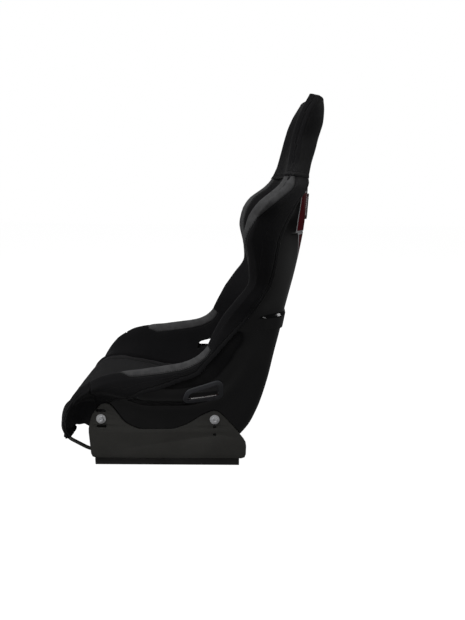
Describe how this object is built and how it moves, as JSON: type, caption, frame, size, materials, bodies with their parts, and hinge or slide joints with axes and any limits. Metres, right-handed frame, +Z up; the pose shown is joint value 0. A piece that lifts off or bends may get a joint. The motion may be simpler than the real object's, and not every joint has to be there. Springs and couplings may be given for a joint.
{
  "type": "racing seat",
  "caption": "Bucket racing seat with a one-piece glossy shell, cloth pads and belt slots, on side brackets and sliding rails released by a towel bar.",
  "frame": {"origin": "on the floor under the middle of the overall box", "axes": "+Z up, the seat faces -Y, +X is the left side of a person sitting in it"},
  "size_m": [0.561, 0.6746, 0.9465],
  "materials": {
    "black_gelcoat": "glass fibre laminate with a polished black gelcoat",
    "black_cloth": "woven black cover over foam, charcoal suede panels",
    "belt_frame_plastic": "dark grey moulded",
    "pale_plastic": "silver painted",
    "powder_coat": "satin black powder coat on steel",
    "rail_steel": "black electro-coated steel",
    "cage_plastic": "moulded nylon",
    "zinc": "bright zinc plate"
  },
  "bodies": {
    "base": {"lower_rail_left": "rail_steel", "lower_rail_right": "rail_steel"},
    "handle": {"towel_bar": "powder_coat", "comb_latch_left": "powder_coat", "comb_latch_right": "powder_coat"},
    "cage_left": {"roller_cage_left": "cage_plastic"},
    "cage_right": {"roller_cage_right": "cage_plastic"},
    "roller_front_left": {"roller_front_left": "zinc"},
    "roller_rear_left": {"roller_rear_left": "zinc"},
    "roller_front_right": {"roller_front_right": "zinc"},
    "roller_rear_right": {"roller_rear_right": "zinc"},
    "seat": {"back_cushion": "black_cloth", "bar_hanger_left": "powder_coat", "bar_hanger_right": "powder_coat", "bar_pin_left": "zinc", "bar_pin_right": "zinc", "head_cover": "black_cloth", "lap_belt_frame_left": "belt_frame_plastic", "lap_belt_frame_right": "belt_frame_plastic", "rail_screw_front_left": "zinc", "rail_screw_front_right": "zinc", "rail_screw_rear_left": "zinc", "rail_screw_rear_right": "zinc", "seat_cushion": "black_cloth", "shell": "black_gelcoat", "shoulder_belt_frame_left": "pale_plastic", "shoulder_belt_frame_right": "pale_plastic", "side_bolster_left": "black_cloth", "side_bolster_right": "black_cloth", "side_bolt_front_left": "zinc", "side_bolt_front_right": "zinc", "side_bolt_rear_left": "zinc", "side_bolt_rear_right": "zinc", "side_bracket_left": "powder_coat", "side_bracket_right": "powder_coat", "threaded_insert_front_left": "zinc", "threaded_insert_front_right": "zinc", "threaded_insert_rear_left": "zinc", "threaded_insert_rear_right": "zinc", "upper_rail_left": "rail_steel", "upper_rail_right": "rail_steel", "washer_front_left": "zinc", "washer_front_right": "zinc", "washer_rear_left": "zinc", "washer_rear_right": "zinc"}
  },
  "joints": [
    {"name": "seat_slide", "type": "slide", "parent": "base", "child": "seat", "axis": [0, 1, 0], "range_m": [-0.096, 0.096]},
    {"name": "handle_lift", "type": "hinge", "parent": "seat", "child": "handle", "pos_m": [0, -0.06, 0.013], "axis": [-1, 0, 0], "range_deg": [0, 3], "stiffness_Nm_per_rad": 4, "springref_deg": -17.19},
    {"name": "cage_slide_left", "type": "slide", "parent": "base", "child": "cage_left", "axis": [0, 1, 0], "range_m": [-0.0485, 0.0485]},
    {"name": "cage_slide_right", "type": "slide", "parent": "base", "child": "cage_right", "axis": [0, 1, 0], "range_m": [-0.0485, 0.0485]},
    {"name": "roller_spin_front_left", "type": "hinge", "parent": "cage_left", "child": "roller_front_left", "pos_m": [0.172, -0.132, 0.00575], "axis": [1, 0, 0], "range_deg": [-940, 940]},
    {"name": "roller_spin_rear_left", "type": "hinge", "parent": "cage_left", "child": "roller_rear_left", "pos_m": [0.172, 0.028, 0.00575], "axis": [1, 0, 0], "range_deg": [-940, 940]},
    {"name": "roller_spin_front_right", "type": "hinge", "parent": "cage_right", "child": "roller_front_right", "pos_m": [-0.172, -0.132, 0.00575], "axis": [1, 0, 0], "range_deg": [-940, 940]},
    {"name": "roller_spin_rear_right", "type": "hinge", "parent": "cage_right", "child": "roller_rear_right", "pos_m": [-0.172, 0.028, 0.00575], "axis": [1, 0, 0], "range_deg": [-940, 940]}
  ],
  "couplings": [
    {"joint": "cage_slide_left", "follows": "seat_slide", "ratio": 0.5},
    {"joint": "cage_slide_right", "follows": "seat_slide", "ratio": 0.5},
    {"joint": "roller_spin_front_left", "follows": "seat_slide", "rad_per_m": -169.49},
    {"joint": "roller_spin_rear_left", "follows": "seat_slide", "rad_per_m": -169.49},
    {"joint": "roller_spin_front_right", "follows": "seat_slide", "rad_per_m": -169.49},
    {"joint": "roller_spin_rear_right", "follows": "seat_slide", "rad_per_m": -169.49}
  ]
}
